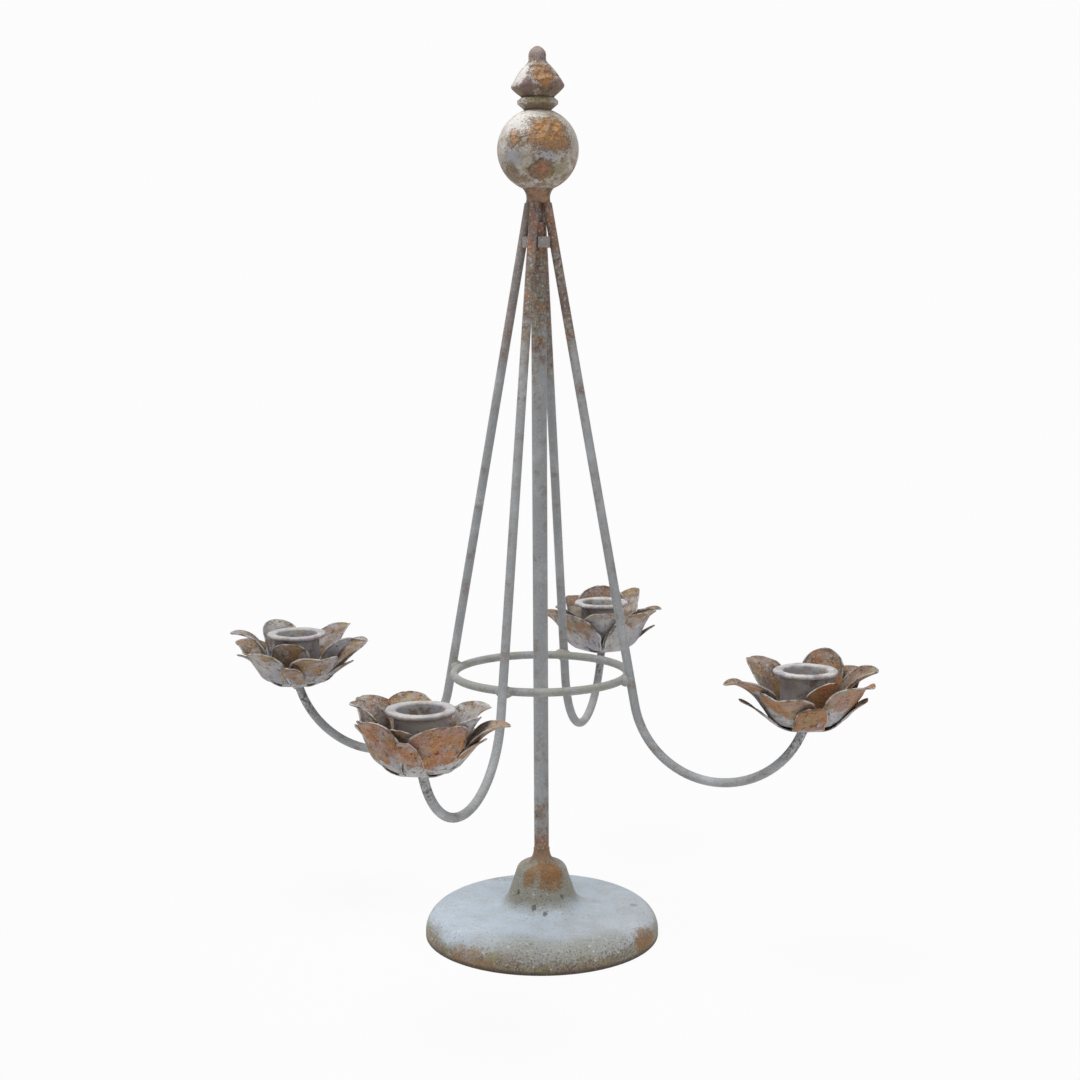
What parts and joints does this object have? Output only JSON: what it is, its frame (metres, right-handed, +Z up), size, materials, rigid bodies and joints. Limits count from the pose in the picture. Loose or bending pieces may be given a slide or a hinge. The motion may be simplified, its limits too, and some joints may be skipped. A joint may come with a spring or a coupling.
{
  "type": "candle holder",
  "caption": "Table candle holder with a domed round foot, a straight pole with a ball finial, a wire hoop and bent rod arms that end in metal flowers with candle cups.",
  "frame": {"origin": "on the table, under the pole's axis, in the middle of the foot", "axes": "+Z up along the pole, the right, back, left and front arm within 4 degrees of +X, +Y, -X and -Y"},
  "size_m": [0.3717, 0.3697, 0.4754],
  "materials": {
    "grey_paint": "matte, uneven",
    "base_paint": "matte with specks of rust",
    "rusted_paint": "matte, worn through to rust",
    "petal_paint": "matte, washed with ochre and brown",
    "cup_paint": "matte, whitewashed",
    "plain_steel": "bare"
  },
  "bodies": {
    "root": {"base_dish": "base_paint", "base_washer": "plain_steel", "base_nut": "plain_steel", "pole": "grey_paint", "pole_weld": "base_paint", "hoop": "grey_paint", "hoop_welds": "grey_paint", "tie_collar": "rusted_paint", "neck_collar": "rusted_paint", "finial_ball": "rusted_paint", "finial_collar": "rusted_paint", "finial_tip": "rusted_paint", "cup_rivets": "plain_steel", "flower_welds": "grey_paint", "arm_right": "grey_paint", "lower_leaves_right": "petal_paint", "outer_petals_right": "petal_paint", "inner_petals_right": "petal_paint", "candle_cup_right": "cup_paint", "arm_back": "grey_paint", "lower_leaves_back": "petal_paint", "outer_petals_back": "petal_paint", "inner_petals_back": "petal_paint", "candle_cup_back": "cup_paint", "arm_left": "grey_paint", "lower_leaves_left": "petal_paint", "outer_petals_left": "petal_paint", "inner_petals_left": "petal_paint", "candle_cup_left": "cup_paint", "arm_front": "grey_paint", "lower_leaves_front": "petal_paint", "outer_petals_front": "petal_paint", "inner_petals_front": "petal_paint", "candle_cup_front": "cup_paint"}
  },
  "joints": []
}
